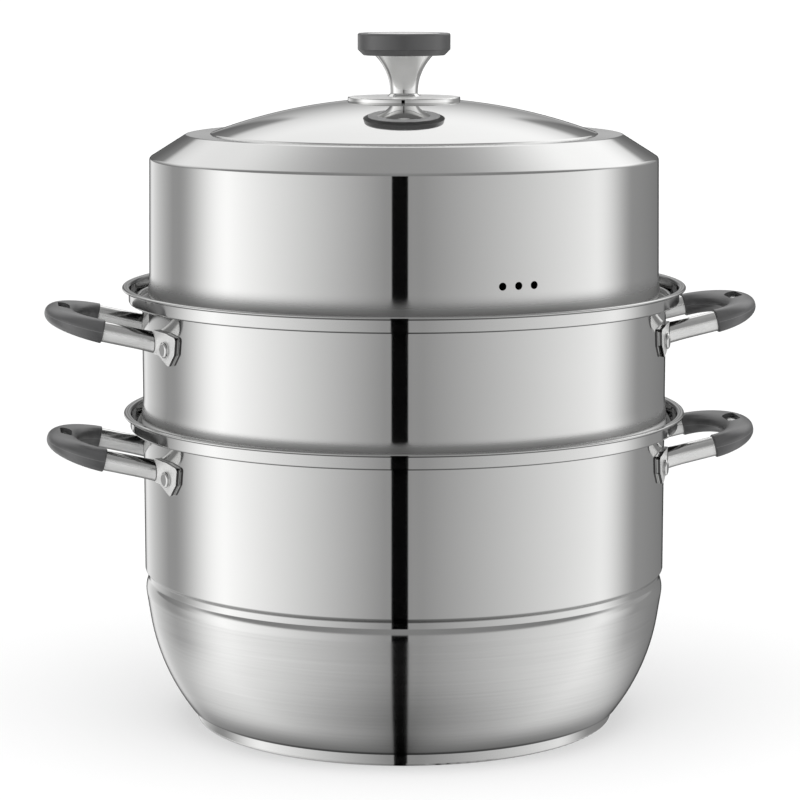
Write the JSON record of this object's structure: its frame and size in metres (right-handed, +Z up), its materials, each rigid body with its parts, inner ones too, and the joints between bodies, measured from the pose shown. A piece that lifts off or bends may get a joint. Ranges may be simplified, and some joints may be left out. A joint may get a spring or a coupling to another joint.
{
  "type": "steamer pot",
  "caption": "Round stainless steel steamer pot: a deep pot with a clad base, a pierced steaming tier that nests in its rim, and a tall vented lid with a knob.",
  "frame": {"origin": "centre of the base, on the surface that the pot stands on", "axes": "+Z up through the knob, +X through the right handles, the steam vents face -Y and +X"},
  "size_m": [0.3852, 0.3024, 0.3701],
  "materials": {
    "polished_steel": "mirror polished, satin on the lower bulge",
    "base_steel": "fine turned",
    "aluminium_core": "plain",
    "handle_steel": "polished",
    "fastener_steel": "satin",
    "knob_chrome": "bright plated",
    "dark_plastic": "satin moulded"
  },
  "bodies": {
    "pot": {"pot_body": "polished_steel", "pot_base_cap": "base_steel", "pot_base_core": "aluminium_core", "pot_handle_left": "handle_steel", "pot_grip_left": "dark_plastic", "pot_rivets_left": "fastener_steel", "pot_handle_right": "handle_steel", "pot_grip_right": "dark_plastic", "pot_rivets_right": "fastener_steel"},
    "steamer": {"steamer_body": "polished_steel", "steamer_handle_left": "handle_steel", "steamer_grip_left": "dark_plastic", "steamer_rivets_left": "fastener_steel", "steamer_handle_right": "handle_steel", "steamer_grip_right": "dark_plastic", "steamer_rivets_right": "fastener_steel"},
    "lid": {"lid_shell": "polished_steel", "knob_plate": "knob_chrome", "knob_stem": "knob_chrome", "knob_grip": "dark_plastic", "knob_cap": "knob_chrome", "knob_washer": "fastener_steel", "knob_screw": "fastener_steel"}
  },
  "joints": [
    {"name": "steamer_lift", "type": "slide", "parent": "pot", "child": "steamer", "axis": [0, 0, 1], "range_m": [0, 0.12]},
    {"name": "lid_lift", "type": "slide", "parent": "steamer", "child": "lid", "axis": [0, 0, 1], "range_m": [0, 0.12]}
  ]
}
